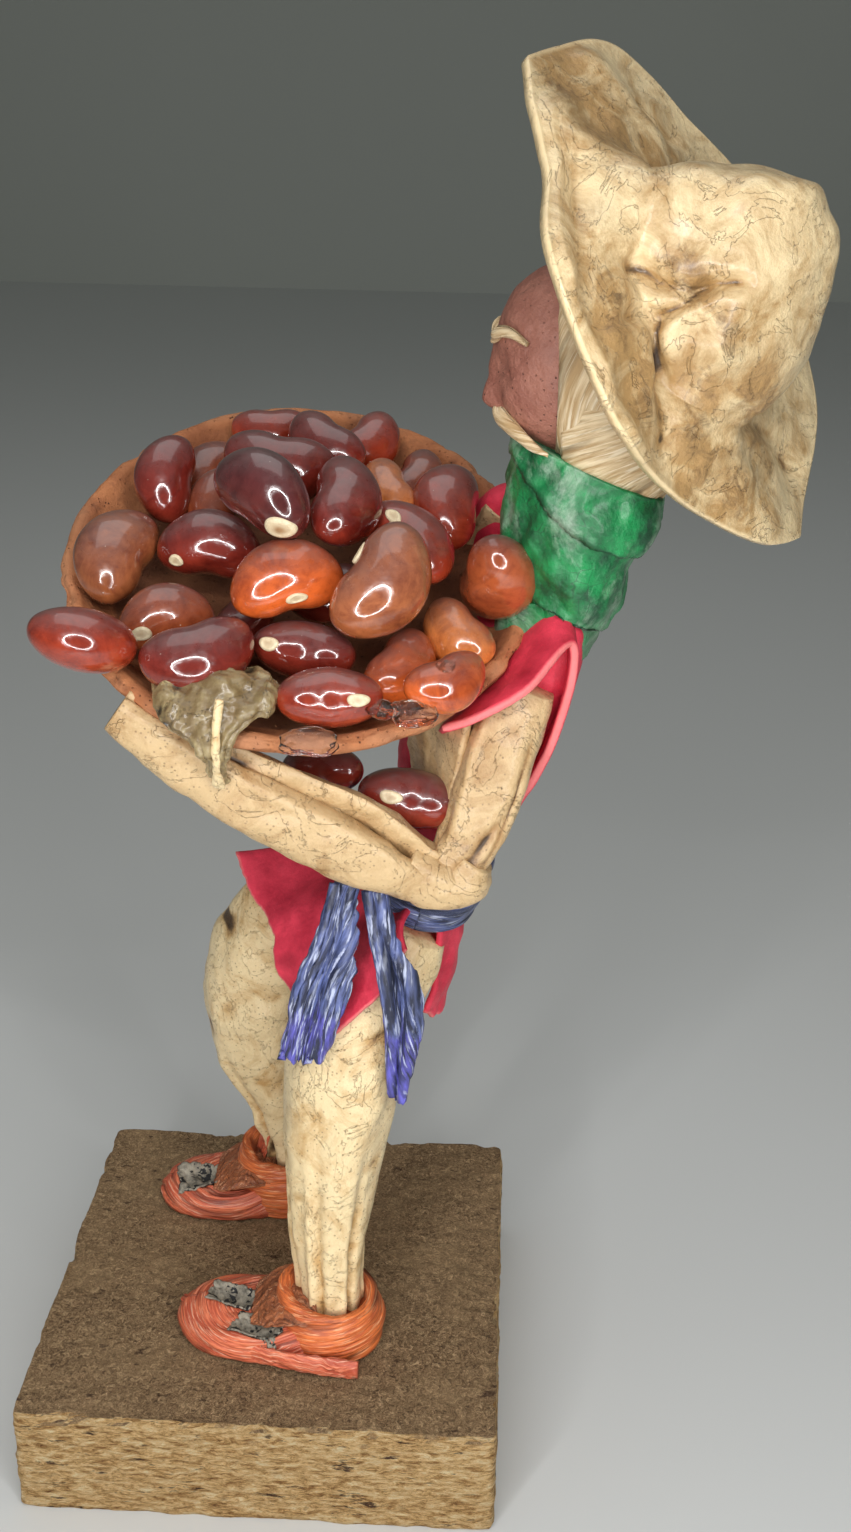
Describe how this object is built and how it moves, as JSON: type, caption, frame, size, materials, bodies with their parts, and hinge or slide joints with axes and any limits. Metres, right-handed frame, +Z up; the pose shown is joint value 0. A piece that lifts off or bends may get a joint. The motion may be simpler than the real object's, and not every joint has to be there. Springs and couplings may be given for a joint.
{
  "type": "papier-mache figure",
  "caption": "Folk-art papier-mache figure in a wide hat that carries a fired clay dish heaped with kidney beans, standing on a square particle-board block.",
  "frame": {"origin": "centre of the block's underside", "axes": "+Z up, -Y the way the figure faces, +X the figure's left side"},
  "size_m": [0.076, 0.117, 0.2149],
  "materials": {
    "board": "raw particle board, worn and stained",
    "coral": "painted wound paper strips",
    "cream": "varnished folded paper, speckled",
    "red": "matt paint on pasted paper",
    "blue": "dyed twisted fibre",
    "green": "painted paper with a pale bloom",
    "skin": "painted paper paste, speckled",
    "ivory": "cream painted strands",
    "straw": "varnished crumpled paper, stained",
    "clay": "unglazed fired clay, worn rim",
    "maroon": "varnished dried bean, maroon",
    "brown": "varnished dried bean, brown",
    "orange": "varnished dried bean, orange"
  },
  "bodies": {
    "root": {"base_block": "board", "left_shoe": "coral", "right_shoe": "coral", "left_trouser_leg": "cream", "right_trouser_leg": "cream", "tunic": "red", "left_sleeve": "cream", "right_sleeve": "cream", "sash_belt": "blue", "sash_front_tail": "blue", "sash_rear_tail": "blue", "head": "skin", "hair": "ivory", "moustache": "ivory", "left_eyebrow": "ivory", "right_eyebrow": "ivory", "hat": "straw", "scarf": "green", "dish": "clay", "left_hand": "cream", "right_hand": "cream", "bean_01": "maroon", "bean_02": "brown", "bean_03": "maroon", "bean_04": "brown", "bean_05": "brown", "bean_06": "maroon", "bean_07": "brown", "bean_08": "maroon", "bean_09": "maroon", "bean_10": "maroon", "bean_11": "maroon", "bean_12": "orange", "bean_13": "maroon", "bean_14": "maroon", "bean_15": "brown", "bean_16": "orange", "bean_17": "brown", "bean_18": "brown", "bean_19": "maroon", "bean_20": "brown", "bean_21": "brown", "bean_22": "maroon", "bean_23": "brown", "bean_24": "orange", "bean_25": "orange", "bean_26": "maroon", "bean_27": "maroon", "bean_28": "maroon", "bean_29": "maroon", "bean_30": "maroon"}
  },
  "joints": []
}
